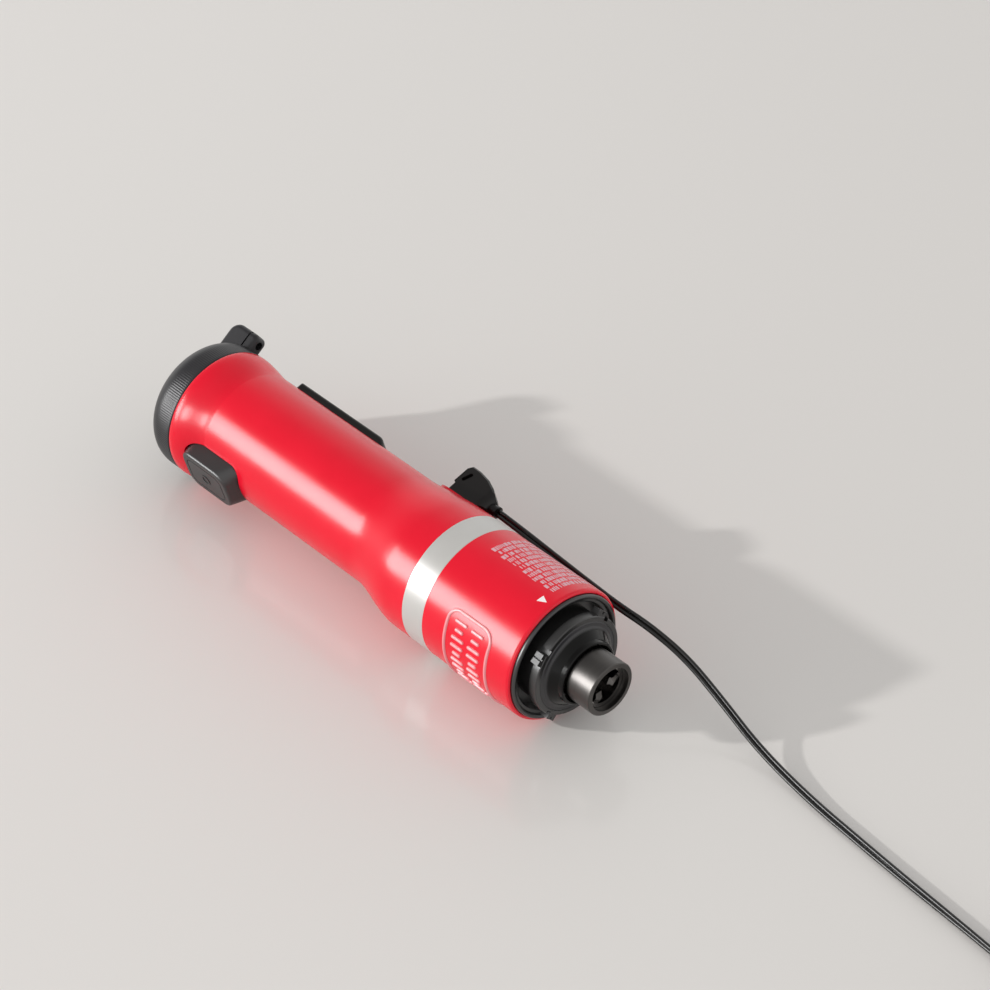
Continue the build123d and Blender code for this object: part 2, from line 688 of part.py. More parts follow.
def plug():
    """The plug stands in the port; its foot is a little shorter than its head."""
    top = PLUG_TOP
    foot_x = PLUG_X0 + 1.2
    front_x = PLUG_X0 + 20.7
    body = side_prism(
        PLUG_HALF,
        (foot_x, PORT_FLOOR + 0.3),
        (foot_x, 33.6),
        (PLUG_X0, 34.2),
        (PLUG_X0, top - 1.2),
        (PLUG_X0 + 0.9, top),
        (PLUG_X0 + 5.6, top - 0.1),
        (PLUG_X0 + 11.8, top - 1.3),
        (PLUG_X0 + 16.6, top - 3.3),
        (front_x, top - 6.2),
        (front_x, NECK_Z - NECK_R),
        (PLUG_X0 + 15.3, 29.0),
        (PLUG_X0 + 13.8, PORT_FLOOR + 0.3),
    )
    crown = [e for e in body.edges() if abs(e.center().Y) > 1 and e.center().Z > top - 5]
    body = chamfer(crown, 0.9)
    front = Pos(front_x - 4.5, 0, 0) * RectangleRounded(9.0, 2 * PLUG_HALF, 4.4)
    rear = Pos(front_x - 14, 0, 0) * Rectangle(19, 2 * PLUG_HALF)
    body &= extrude(Pos(0, 0, 20) * (front + rear), 30)
    body += rod(front_x - 3, NECK_END, NECK_R, 0, NECK_Z)
    body += rod(NECK_END - 1.3, NECK_END, NECK_R + 0.25, 0, NECK_Z)
    slot = Plane.XZ * (Pos(PLUG_X0 + 3.4, top - 6.0) * Rot(0, 0, 70) * SlotOverall(5.4, 1.9))
    body -= extrude(slot, PLUG_HALF + 1, both=True) - block(PLUG_X0, front_x, -3.4, 3.4, 20, 60)
    contact = post(JACK_X, 0, JACK_R - 0.05, 16, PORT_FLOOR + 0.8)
    body -= contact
    contact -= post(JACK_X, 0, 1.0, 15, 24)
    return {"charge_plug": body, "plug_contact": contact}


# The lead's route: out of the plug, along the barrel, down to the table, past the drive end and
# into the coil. Corners of the route, 20 to 30 apart; x and y from where X = 0 meets the axis,
# z from the table.
LEAD_ROUTE = [
    (-75.5, 34.0, 39.8),
    (-59.8, 33.5, 39.5),
    (-39.8, 32.6, 38.9),
    (-18.8, 31.8, 38.2),
    (-0.8, 32.1, 36.6),
    (13.2, 35.6, 33.0),
    (30.2, 40.1, 24.5),
    (49.2, 41.1, 14.0),
    (73.2, 39.1, 4.6),
    (104.2, 35.3, 1.8),
    (134.2, 32.3, 1.8),
    (162.2, 29.7, 1.8),
    (189.2, 27.7, 1.8),
    (214.2, 25.5, 1.8),
    (240.0, 24.4, 1.8),
]
COIL_CENTRE = (240.0, 51.6)
TAIL_ROUTE = [
    (240.0, 24.4, 5.4),
    (252.2, 24.5, 5.6),
    (264.2, 25.0, 7.0),
    (275.2, 25.1, 9.0),
]
RELIEF_LONG = 9.0


def corner_radii(points):
    """Each corner's radius: 0.45 of its shorter run, over the tangent of half its turn."""
    radii = []
    for a, b, c in zip(points, points[1:], points[2:]):
        before = Vector(*b) - Vector(*a)
        after = Vector(*c) - Vector(*b)
        turn = math.radians(before.get_angle(after))
        radii.append(0.45 * min(before.length, after.length) / math.tan(turn / 2))
    return radii


def lead(route):
    points = [(AXIS_X + x, AXIS_Y + y, z) for x, y, z in route]
    radii = corner_radii(points)
    print("lead radii", [round(r) for r in radii])
    path = FilletPolyline(*points, radius=radii)
    start = Plane(origin=path @ 0, z_dir=path % 0)
    tube_solid = sweep(start * Circle(CORD_R), path=path)
    print("volume over section times length", tube_solid.volume / (math.pi * CORD_R**2 * path.length))
    print("length", round(path.length, 1))
    return tube_solid


def charger():
    """The lead, its coil and the wall adapter, in the finished frame."""
    wide = COIL_COLUMNS * 2 * CORD_R
    coil = Cylinder(COIL_TURN_R + wide / 2, COIL_LAYERS * 2 * CORD_R)
    coil -= Cylinder(COIL_TURN_R - wide / 2, 50)
    coil_x, coil_y = COIL_CENTRE
    coil = Pos(AXIS_X + coil_x, AXIS_Y + coil_y, COIL_LAYERS * CORD_R) * coil
    x, y, z = TAIL_ROUTE[-1]
    x, y = AXIS_X + x, AXIS_Y + y
    body_x = x + RELIEF_LONG
    relief = Pos(x + RELIEF_LONG / 2, y, z) * Rot(0, 90, 0) * Cone(2.4, 3.6, RELIEF_LONG)
    case_y = y + ADAPTER_ASIDE
    case = Pos(body_x + ADAPTER_LONG / 2, case_y, ADAPTER_TALL / 2) * Box(
        ADAPTER_LONG, ADAPTER_WIDE, ADAPTER_TALL
    )
    case = fillet(case.edges(), 3.0)
    prongs = []
    for side in (-1, 1):
        start = body_x + ADAPTER_LONG
        blade = Pos(start + PRONG_LONG / 2, case_y + side * 6.35, ADAPTER_TALL / 2)
        blade *= Box(PRONG_LONG, 1.5, 6.3)
        prongs.append(fillet(blade.edges().filter_by(Axis.Y).sort_by(Axis.X)[-2:], 1.5))
    return {
        "charge_cord": lead(LEAD_ROUTE),
        "cord_coil": coil,
        "cord_tail": lead(TAIL_ROUTE),
        "adapter_relief": relief,
        "adapter_case": case,
        "adapter_prongs": prongs,
    }


# ---- assembly ----------------------------------------------------------------------------------
def settle(piece):
    """From the motor's frame to the finished frame: rolled as it lies, resting on Z = 0."""
    return Pos(AXIS_X, AXIS_Y, BARREL_R) * Rot(-ROLL, 0, 0) * piece


def main():
    os.makedirs("parts", exist_ok=True)
    pieces = {}
    makers = (
        grip_shells,
        shell_screws,
        barrel,
        badge,
        nose,
        drive,
        rotor,
        motor_frame,
        battery,
        electronics,
        switches,
        trigger,
        thumb_button,
        dial,
        charge_port,
        plug,
    )
    for maker in makers:
        for name, shape in maker().items():
            solids = shape if isinstance(shape, list) else [shape]
            pieces[name] = [settle(solid) for solid in solids]
    for name, shape in charger().items():
        pieces[name] = shape if isinstance(shape, list) else [shape]
    for name, solids in pieces.items():
        whole = solids[0] if len(solids) == 1 else Compound(children=solids)
        export_step(whole, f"parts/{name}.step")
    on_lead = ("charge_plug", "plug_contact", "charge_cord", "cord_coil", "cord_tail")
    unit = [s for n, p in pieces.items() if n not in on_lead and "adapter" not in n for s in p]
    box = Compound(children=unit).bounding_box()
    print("unit", box.min, box.max, "middle", (box.min + box.max) / 2)


main()
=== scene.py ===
import json
import math
import random

import bmesh
import bpy
from mathutils import Matrix, Vector


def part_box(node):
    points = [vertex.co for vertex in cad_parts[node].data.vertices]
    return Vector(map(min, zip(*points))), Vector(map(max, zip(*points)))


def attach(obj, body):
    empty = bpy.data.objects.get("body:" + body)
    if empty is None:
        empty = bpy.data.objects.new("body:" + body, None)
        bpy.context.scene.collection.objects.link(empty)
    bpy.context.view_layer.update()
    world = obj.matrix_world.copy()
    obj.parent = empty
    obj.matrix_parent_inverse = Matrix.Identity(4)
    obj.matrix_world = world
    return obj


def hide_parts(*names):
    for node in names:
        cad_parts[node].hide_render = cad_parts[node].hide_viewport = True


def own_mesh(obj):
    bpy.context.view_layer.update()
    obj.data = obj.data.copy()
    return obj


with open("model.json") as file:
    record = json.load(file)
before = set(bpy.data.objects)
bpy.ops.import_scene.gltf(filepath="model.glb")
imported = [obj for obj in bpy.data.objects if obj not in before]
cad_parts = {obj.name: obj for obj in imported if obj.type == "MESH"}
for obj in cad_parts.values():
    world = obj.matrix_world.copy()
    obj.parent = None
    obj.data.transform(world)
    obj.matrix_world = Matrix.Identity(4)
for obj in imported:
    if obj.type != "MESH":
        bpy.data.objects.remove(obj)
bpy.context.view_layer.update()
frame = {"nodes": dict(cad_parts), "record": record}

# The motor axis in the finished frame, as in part.py: X = 0 is at the front face of the nose.
AXIS_X = 0.10545
AXIS_Y = -0.000267
AXIS_Z = 0.030
ROLL = math.radians(-74.0)  # the unit is rolled this far, so its trigger side faces +Y
BARREL_R = 30.0
SETTLED = Matrix.Translation((AXIS_X, AXIS_Y, AXIS_Z)) @ Matrix.Rotation(ROLL, 4, "X")


def place(x, y, z):
    """A point about the motor axis, in mm, in the finished frame."""
    return SETTLED @ Vector((x / 1000, y / 1000, z / 1000))


def rim(x, r, angle):
    """A point r from the motor axis; angle 0 is the trigger side, 90 the camera's side."""
    a = math.radians(angle)
    return place(x, -r * math.sin(a), r * math.cos(a))


# ---- camera, lights and floor ------------------------------------------------------------------
# The camera as it was fitted to the photograph.
CAMERA_AT = (AXIS_X + 0.8032, AXIS_Y - 0.76894, AXIS_Z + 0.97623)
CAMERA_RIGHT = (0.67456, 0.73822, -0.00132)
CAMERA_UP = (-0.46181, 0.42338, 0.77941)
LENS = 134.25  # mm, for a sensor 36 mm wide
# Directions from the object, in the finished frame.
SUN_FROM = (-0.522, -0.765, 0.377)
WINDOW_FROM = (-0.55, -0.78, 0.29)
PANE_FROM = (-0.04, -0.945, 0.35)
FILL_FROM = (-0.42, -0.90, 0.13)
DIM_SIDE = (-0.58, -0.17, 0.80)  # where the room is dimmest
LAMP_AWAY = 2.4
WARM = (1.0, 0.98, 0.95)
WALLS = (1.0, 0.995, 0.985)
CEILING = (0.46, 0.455, 0.445)
DIM_WALL = (0.36, 0.355, 0.35)
ROOM_STRENGTH = 1.22
FLOOR_NEAR = (0.85, 0.828, 0.812)
FLOOR_FAR_PAINTED_SHADE = (0.64, 0.624, 0.608)
PAINTED_SHADE_AWAY = (0.45, 0.89, 0)  # painted shade: the floor's colour darkens this way, standing in for light falling off away from the lamps


def look():
    """The photograph's camera: where it stands, and its right, up and backward directions."""
    camera = bpy.data.objects.new("camera", bpy.data.cameras.new("camera"))
    bpy.context.collection.objects.link(camera)
    right, up = Vector(CAMERA_RIGHT), Vector(CAMERA_UP)
    back = right.cross(up)
    turn = Matrix((right, up, back)).transposed().to_4x4()
    camera.matrix_world = Matrix.Translation(Vector(CAMERA_AT)) @ turn
    camera.data.sensor_width = 36.0
    camera.data.lens = LENS
    camera.data.clip_start = 0.05
    camera.data.clip_end = 20
    bpy.context.scene.camera = camera


def light(name, direction, width, height, energy, colour=(1, 1, 1)):
    """A soft rectangular light, seen from the object in the given direction."""
    lamp = bpy.data.lights.new(name, "AREA")
    lamp.shape = "RECTANGLE"
    lamp.size = width
    lamp.size_y = height
    lamp.energy = energy
    lamp.color = colour
    obj = bpy.data.objects.new(name, lamp)
    way = Vector(direction).normalized()
    obj.location = way * LAMP_AWAY
    obj.rotation_euler = way.to_track_quat("Z", "Y").to_euler()
    bpy.context.collection.objects.link(obj)
    return obj


def skip(lamp, piece):
    """The lamp lights everything but this piece."""
    skipped = bpy.data.collections.new(lamp.name + "_skips")
    skipped.objects.link(piece)
    skipped.collection_objects[0].light_linking.link_state = "EXCLUDE"
    lamp.light_linking.receiver_collection = skipped


def fade_between(tree, value, low, high):
    """0 below low, 1 above high, smooth between."""
    node = tree.nodes.new("ShaderNodeMapRange")
    node.interpolation_type = "SMOOTHSTEP"
    node.inputs["From Min"].default_value = low
    node.inputs["From Max"].default_value = high
    tree.links.new(value, node.inputs["Value"])
    return node.outputs["Result"]


def room():
    """A room with pale walls and a dimmer ceiling, dimmest behind the object."""
    world = bpy.data.worlds.new("room")
    bpy.context.scene.world = world
    world.use_nodes = True
    tree = world.node_tree
    direction = tree.nodes.new("ShaderNodeTexCoord").outputs["Generated"]
    parts = tree.nodes.new("ShaderNodeSeparateXYZ")
    tree.links.new(direction, parts.inputs["Vector"])
    toward = tree.nodes.new("ShaderNodeVectorMath")
    toward.operation = "DOT_PRODUCT"
    toward.inputs[1].default_value = Vector(DIM_SIDE).normalized()
    tree.links.new(direction, toward.inputs[0])
    up = fade_between(tree, parts.outputs["Z"], -0.1, 1.05)
    inside, outside = math.cos(math.radians(18)), math.cos(math.radians(42))
    behind = fade_between(tree, toward.outputs["Value"], outside, inside)
    walls = tint(tree, up, WALLS, CEILING)
    last = tree.nodes.new("ShaderNodeMix")
    last.data_type = "RGBA"
    last.inputs["B"].default_value = (*DIM_WALL, 1)
    tree.links.new(walls, last.inputs["A"])
    tree.links.new(behind, last.inputs["Factor"])
    tree.links.new(last.outputs["Result"], tree.nodes["Background"].inputs["Color"])
    tree.nodes["Background"].inputs["Strength"].default_value = ROOM_STRENGTH


def studio():
    """Low sun and a faint fill give the shading, helped by painted shade in the floor's colour; two
    window lights give only the highlights.
    """
    bpy.context.scene.view_settings.view_transform = "Standard"
    room()
    sun = bpy.data.objects.new("low_sun", bpy.data.lights.new("low_sun", "SUN"))
    sun.data.energy = 1.6
    sun.data.angle = math.radians(2.5)
    sun.data.color = WARM
    sun.rotation_euler = Vector(SUN_FROM).to_track_quat("Z", "Y").to_euler()
    sun.visible_glossy = False
    bpy.context.collection.objects.link(sun)
    window = light("window", WINDOW_FROM, 1.25, 1.1, 66)
    window.visible_diffuse = False
    pane = light("side_pane", PANE_FROM, 0.7, 0.8, 34)
    pane.visible_diffuse = False
    low = light("low_fill", FILL_FROM, 1.2, 0.8, 8, WARM)
    low.visible_glossy = False

    bpy.ops.mesh.primitive_plane_add(size=6, location=(0, 0, -0.0001))
    floor = bpy.context.object
    floor.name = "floor"
    skip(window, floor)
    skip(pane, floor)
    mat, tree, shader = shader_of("counter", FLOOR_NEAR, 0.5)
    spot = tree.nodes.new("ShaderNodeTexCoord").outputs["Object"]
    away = tree.nodes.new("ShaderNodeVectorMath")
    away.operation = "DOT_PRODUCT"
    away.inputs[1].default_value = PAINTED_SHADE_AWAY
    tree.links.new(spot, away.inputs[0])
    # painted shade: the floor's base colour fades from the near colour to a darker far one, in
    # place of the light's falloff across the floor
    painted_shade_fade = fade_between(tree, away.outputs["Value"], -0.75, 1.0)
    shade = tint(tree, painted_shade_fade, FLOOR_NEAR, FLOOR_FAR_PAINTED_SHADE)
    tree.links.new(shade, shader.inputs["Base Color"])
    shader.inputs["Specular IOR Level"].default_value = 0.2
    shader.inputs["Coat Weight"].default_value = 0.7
    shader.inputs["Coat Roughness"].default_value = 0.12
    floor.data.materials.append(mat)


# ---- materials ---------------------------------------------------------------------------------
def shader_of(name, colour, rough, metallic=0.0):
    mat = bpy.data.materials.new(name)
    mat.use_nodes = True
    tree = mat.node_tree
    shader = tree.nodes["Principled BSDF"]
    shader.inputs["Base Color"].default_value = (*colour, 1)
    shader.inputs["Roughness"].default_value = rough
    shader.inputs["Metallic"].default_value = metallic
    return mat, tree, shader


def noise(tree, scale, stretch=(1, 1, 1), detail=3.0):
    """Noise fixed to the object, scale in features per metre along the unstretched axes."""
    place_node = tree.nodes.new("ShaderNodeTexCoord")
    mapping = tree.nodes.new("ShaderNodeMapping")
    mapping.inputs["Scale"].default_value = stretch
    texture = tree.nodes.new("ShaderNodeTexNoise")
    texture.inputs["Scale"].default_value = scale
    texture.inputs["Detail"].default_value = detail
    tree.links.new(place_node.outputs["Object"], mapping.inputs["Vector"])
    tree.links.new(mapping.outputs["Vector"], texture.inputs["Vector"])
    return texture.outputs["Fac"]


def spread(tree, value, low, high):
    """Maps noise, which lies between 0 and 1 and mostly near 0.5, to low .. high."""
    node = tree.nodes.new("ShaderNodeMapRange")
    node.inputs["To Min"].default_value = low
    node.inputs["To Max"].default_value = high
    tree.links.new(value, node.inputs["Value"])
    return node.outputs["Result"]


def tint(tree, value, dark, pale):
    node = tree.nodes.new("ShaderNodeMix")
    node.data_type = "RGBA"
    node.inputs["A"].default_value = (*dark, 1)
    node.inputs["B"].default_value = (*pale, 1)
    tree.links.new(value, node.inputs["Factor"])
    return node.outputs["Result"]


def relief(tree, shader, value, strength, distance):
    bump = tree.nodes.new("ShaderNodeBump")
    bump.inputs["Strength"].default_value = strength
    bump.inputs["Distance"].default_value = distance
    tree.links.new(value, bump.inputs["Height"])
    tree.links.new(bump.outputs["Normal"], shader.inputs["Normal"])


MOTTLES = 45  # per metre
MICRON = 0.000001


def moulded(name, dark, pale, rough, gloss, grain, depth):
    """Moulded plastic or rubber: faint mottling, uneven gloss and a fine grain."""
    mat, tree, shader = shader_of(name, pale, rough[0])
    broad = noise(tree, MOTTLES)
    fine = noise(tree, grain, detail=2.0)
    tree.links.new(tint(tree, spread(tree, broad, 0, 1), dark, pale), shader.inputs["Base Color"])
    tree.links.new(spread(tree, broad, *rough), shader.inputs["Roughness"])
    relief(tree, shader, fine, 0.5, depth * MICRON)
    shader.inputs["Specular IOR Level"].default_value = gloss
    return mat


def metal(name, dark, pale, rough, stretch, scale, depth=6):
    """Brushed or turned metal: fine lines along the axis that isn't stretched."""
    mat, tree, shader = shader_of(name, pale, rough[0], 1.0)
    lines = noise(tree, scale, stretch, detail=6.0)
    tree.links.new(tint(tree, spread(tree, lines, 0, 1), dark, pale), shader.inputs["Base Color"])
    tree.links.new(spread(tree, lines, *rough), shader.inputs["Roughness"])
    relief(tree, shader, lines, 0.6, depth * MICRON)
    return mat


ROUND = (60, 1, 1)  # lines that run round the motor axis
EVEN = (1, 1, 1)
ALONG = (1, 30, 30)

# name: darker colour, paler colour, roughness from and to, gloss, grain per metre, its depth in um
PLASTICS = {
    "red_gloss": ((0.7, 0.0012, 0.018), (0.81, 0.002, 0.024), (0.19, 0.29), 0.38, 900, 6),
    # raised_red is a paler pink than red_gloss: a painted highlight standing for the sheen the
    # badge's ridges catch
    "raised_red": ((0.8, 0.24, 0.27), (0.86, 0.32, 0.35), (0.22, 0.28), 0.8, 900, 8),
    "black_gloss": ((0.006, 0.0052, 0.005), (0.013, 0.0115, 0.011), (0.1, 0.2), 0.6, 700, 10),
    "nose_satin": ((0.0085, 0.008, 0.0082), (0.0145, 0.0138, 0.0142), (0.24, 0.34), 0.85, 900, 10),
    "silver_satin": ((0.5, 0.492, 0.478), (0.57, 0.562, 0.548), (0.24, 0.36), 0.5, 700, 3),
    "black_satin": ((0.005, 0.0042, 0.004), (0.0085, 0.0075, 0.0072), (0.32, 0.4), 0.3, 2200, 30),
    "button_rubber": ((0.011, 0.0102, 0.0108), (0.017, 0.016, 0.0168), (0.36, 0.48), 0.8, 2600, 40),
    "charcoal": ((0.011, 0.0105, 0.0125), (0.019, 0.0182, 0.0215), (0.32, 0.42), 0.42, 2600, 40),
    "black_rubber": ((0.012, 0.011, 0.011), (0.019, 0.018, 0.018), (0.46, 0.56), 0.4, 3000, 30),
    "magnet": ((0.05, 0.05, 0.055), (0.08, 0.08, 0.085), (0.5, 0.6), 0.4, 1500, 20),
    "carbon": ((0.02, 0.02, 0.02), (0.04, 0.04, 0.04), (0.6, 0.7), 0.4, 1500, 20),
    "grey_plastic": ((0.17, 0.18, 0.19), (0.22, 0.23, 0.24), (0.45, 0.55), 0.4, 1500, 20),
    "white_plastic": ((0.62, 0.62, 0.6), (0.7, 0.7, 0.68), (0.4, 0.5), 0.4, 1500, 20),
    "print": ((0.66, 0.36, 0.42), (0.76, 0.46, 0.52), (0.3, 0.36), 0.4, 1500, 4),
    "arrow_print": ((0.88, 0.83, 0.83), (0.93, 0.89, 0.89), (0.4, 0.5), 0.3, 1500, 4),
    "cell_wrap": ((0.03, 0.16, 0.3), (0.05, 0.2, 0.36), (0.2, 0.3), 0.5, 1500, 20),
    "circuit_board": ((0.01, 0.12, 0.04), (0.02, 0.17, 0.06), (0.3, 0.4), 0.5, 1500, 20),
    "chip": ((0.012, 0.012, 0.013), (0.02, 0.02, 0.022), (0.4, 0.5), 0.4, 1500, 20),
    "wire_insulation": ((0.3, 0.01, 0.01), (0.42, 0.015, 0.015), (0.35, 0.45), 0.4, 1500, 20),
    "cord_black": ((0.006, 0.0055, 0.0052), (0.01, 0.0092, 0.009), (0.24, 0.32), 0.5, 1800, 20),
}
# name: darker colour, paler colour, roughness from and to, stretch of the lines, lines per metre,
# and, where the lines are finer than usual, their depth in um
METALS = {
    "inside_gloss": ((0.24, 0.23, 0.225), (0.38, 0.37, 0.36), (0.1, 0.2), EVEN, 120, 3),
    "gunmetal": ((0.08, 0.076, 0.073), (0.105, 0.099, 0.095), (0.31, 0.38), ROUND, 40, 2),
    "steel": ((0.5, 0.5, 0.5), (0.62, 0.62, 0.63), (0.2, 0.3), ROUND, 40),
    "zinc_steel": ((0.42, 0.43, 0.44), (0.55, 0.56, 0.57), (0.3, 0.42), EVEN, 220),
    "copper": ((0.55, 0.22, 0.1), (0.75, 0.36, 0.18), (0.25, 0.35), ALONG, 40),
    "lamination": ((0.22, 0.22, 0.23), (0.36, 0.36, 0.37), (0.4, 0.5), (90, 1, 1), 30),
    "nickel": ((0.55, 0.53, 0.48), (0.72, 0.7, 0.65), (0.18, 0.28), ALONG, 60),
    "spring_steel": ((0.45, 0.45, 0.45), (0.6, 0.6, 0.6), (0.2, 0.3), EVEN, 300),
    "brass_contact": ((0.6, 0.42, 0.15), (0.8, 0.6, 0.28), (0.2, 0.3), EVEN, 200),
}
# pieces whose finish differs a little from the rest of their slot
FINER = {
    "drive_socket": "inside_gloss",
    "lock_button": "button_rubber",
    "drive_collar": "collar_gloss",
    "nose_cap": "nose_satin",
    "bayonet_ring": "nose_satin",
}
CONE_R = (17.0, 18.2)  # the collar turns from glossy cone to dull plate between these radii


def collar_gloss():
    """A glossy black cone round the drive, in a plate as dull as the ring it sits in."""
    mat, tree, shader = shader_of("collar_gloss", (0.006, 0.0055, 0.0055), 0.15)
    spot = tree.nodes.new("ShaderNodeTexCoord").outputs["Object"]
    off_axis = tree.nodes.new("ShaderNodeVectorMath")
    off_axis.operation = "SUBTRACT"
    off_axis.inputs[1].default_value = (0, AXIS_Y, AXIS_Z)
    flat = tree.nodes.new("ShaderNodeVectorMath")
    flat.operation = "MULTIPLY"
    flat.inputs[1].default_value = (0, 1, 1)
    radius = tree.nodes.new("ShaderNodeVectorMath")
    radius.operation = "LENGTH"
    tree.links.new(spot, off_axis.inputs[0])
    tree.links.new(off_axis.outputs["Vector"], flat.inputs[0])
    tree.links.new(flat.outputs["Vector"], radius.inputs[0])
    plate = fade_between(tree, radius.outputs["Value"], CONE_R[0] / 1000, CONE_R[1] / 1000)
    colour = tint(tree, plate, (0.0016, 0.0014, 0.0014), (0.016, 0.0153, 0.018))
    tree.links.new(colour, shader.inputs["Base Color"])
    tree.links.new(spread(tree, plate, 0.13, 0.38), shader.inputs["Roughness"])
    tree.links.new(spread(tree, plate, 0.22, 0.6), shader.inputs["Specular IOR Level"])
    relief(tree, shader, noise(tree, 2600, detail=2.0), 0.5, 0.000012)
    return mat


def palette():
    made = {name: moulded(name, *facts) for name, facts in PLASTICS.items()}
    made["collar_gloss"] = collar_gloss()
    made.update({name: metal(name, *facts) for name, facts in METALS.items()})
    silver_paint = made["silver_satin"].node_tree.nodes["Principled BSDF"]
    silver_paint.inputs["Metallic"].default_value = 0.2
    return made


# ---- small mesh helpers ------------------------------------------------------------------------
def mesh_object(name, bm, smooth_angle):
    mesh = bpy.data.meshes.new(name)
    bmesh.ops.recalc_face_normals(bm, faces=bm.faces)
    bm.to_mesh(mesh)
    bm.free()
    obj = bpy.data.objects.new(name, mesh)
    bpy.context.collection.objects.link(obj)
    for face in mesh.polygons:
        face.use_smooth = True
    mesh.set_sharp_from_angle(angle=math.radians(smooth_angle))
    return obj


def finish_piece(obj, material, body):
    obj.data.materials.clear()
    obj.data.materials.append(material)
    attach(obj, body)


def bridge(bm, near, far):
    """Faces between two closed rings; a ring of one vertex is a pole."""
    count = max(len(near), len(far))
    for i in range(count):
        j = (i + 1) % count
        if len(near) == 1:
            bm.faces.new((near[0], far[j], far[i]))
        elif len(far) == 1:
            bm.faces.new((near[i], near[j], far[0]))
        else:
            bm.faces.new((near[i], near[j], far[j], far[i]))


def join(bm, rings, capped=False):
    """Faces between each ring and the next and, if capped, over the first and the last."""
    for near, far in zip(rings, rings[1:]):
        bridge(bm, near, far)
    if capped:
        bm.faces.new(rings[0])
        bm.faces.new(list(reversed(rings[-1])))


def eased(t):
    """0 below 0, 1 above 1, smooth between."""
    t = min(max(t, 0.0), 1.0)
    return t * t * (3 - 2 * t)


def lathe(bm, profile, count, spot):
    """A profile that starts and ends on the axis, turned; spot(x, r, turn) gives the points."""
    rings = []
    for x, r in profile:
        turns = [2 * math.pi * i / count for i in range(count if r > 0 else 1)]
        rings.append([bm.verts.new(spot(x, r, turn)) for turn in turns])
    join(bm, rings)


def rounded_outline(half_x, half_s, corner, arc_steps, side_steps):
    """A rounded rectangle about (0, 0), starting at the top and mirrored about its middle."""
    points = []
    for sign_x, sign_s, start in ((1, 1, 90), (1, -1, 0), (-1, -1, -90), (-1, 1, -180)):
        for i in range(arc_steps):
            a = math.radians(start - 90 * i / (arc_steps - 1))
            x = sign_x * (half_x - corner) + corner * math.cos(a)
            points.append((x, sign_s * (half_s - corner) + corner * math.sin(a)))
        if start in (90, -90):
            length = 2 * (half_s - corner)
            for i in range(1, side_steps + 1):
                along = sign_s * (length / 2 - length * i / (side_steps + 1))
                points.append((sign_x * half_x, along))
    return points


# ---- the speed dial ----------------------------------------------------------------------------
DIAL_FACE = -215.6
DIAL_R = 29.9
DIAL_SIDE = -222.8
DIAL_END = -238.49
DIAL_WALL = 3.0
DIAL_RINGS = (-221.0, -219.2, -217.4)  # along the dial's straight side
RIBS = 176
RIB_DEPTH = 0.1
RIBS_FADE = (-219.0, -227.5)  # the ribs fade out between these
RIBS_REACH = 9.0  # no rib is farther than this inside the rim


def dial_profile():
    """From the middle of the dome to its rim, and back inside."""
    steps = 22
    profile = []
    for i in range(steps + 1):
        a = math.radians(90 * i / steps)
        x = DIAL_SIDE + (DIAL_END - DIAL_SIDE) * math.cos(a)
        profile.append((x, DIAL_R * math.sin(a)))
    profile += [(x, DIAL_R) for x in DIAL_RINGS]
    profile += [(DIAL_FACE - 0.7, DIAL_R - 0.02), (DIAL_FACE - 0.3, DIAL_R - 0.12)]
    profile += [(DIAL_FACE, DIAL_R - 0.45), (DIAL_FACE, DIAL_R - DIAL_WALL)]
    for i in range(9):
        a = math.radians(90 - 90 * i / 8)
        x = DIAL_SIDE + (DIAL_END + DIAL_WALL - DIAL_SIDE) * math.cos(a)
        profile.append((x, (DIAL_R - DIAL_WALL) * math.sin(a)))
    return profile


def outside_share(x):
    """How much of its full radius the dome has at x."""
    t = min(max((x - DIAL_SIDE) / (DIAL_END - DIAL_SIDE), 0.0), 1.0)
    return math.sqrt(1 - t * t)


def rib_spot(x, r, turn):
    """The outside is cut by fine ribs, which fade towards the dome's middle."""
    fade = 0.0
    if r > DIAL_R - RIBS_REACH and x < DIAL_FACE - 0.5:
        fade = eased((x - RIBS_FADE[1]) / (RIBS_FADE[0] - RIBS_FADE[1]))
    on_outside = r > (DIAL_R - DIAL_WALL) * outside_share(x) + 1.0
    dip = RIB_DEPTH * fade * (0.5 - 0.5 * math.cos(RIBS * turn)) if on_outside else 0.0
    return rim(x, r - dip, math.degrees(turn))


def speed_dial(paint):
    bm = bmesh.new()
    lathe(bm, dial_profile(), RIBS * 6, rib_spot)
    dial = mesh_object("ribbed_dial", bm, 50)
    finish_piece(dial, paint["charcoal"], "dial")
    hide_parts("speed_dial")


# ---- the raised badge and the printed marks ----------------------------------------------------
BADGE_MIDDLE_X = -25.7
BADGE_HALF_X = 13.0
BADGE_HALF_S = 27.2  # along the barrel's skin
BADGE_PROUD = 0.7
THUMB = 180.0  # the badge's middle, in degrees from the trigger side
SUNK = -0.12  # how far a raised mark goes into the skin


def on_skin(x, s, height):
    return rim(BADGE_MIDDLE_X + x, BARREL_R + height, THUMB + math.degrees(s / BARREL_R))


def frame_ridge(bm):
    """The badge's frame: a half-round ridge along a rounded rectangle."""
    width, steps = 1.6, 8
    rings = []
    for i in range(steps + 1):
        across = 2 * i / steps - 1
        inset = width * (0.5 + across / 2)
        height = SUNK + (BADGE_PROUD - SUNK) * math.sqrt(max(1 - across * across, 0.0))
        outline = rounded_outline(BADGE_HALF_X - inset, BADGE_HALF_S - inset, 6.2 - inset, 9, 28)
        rings.append([bm.verts.new(on_skin(x, s, height)) for x, s in outline])
    join(bm, rings + rings[:1])


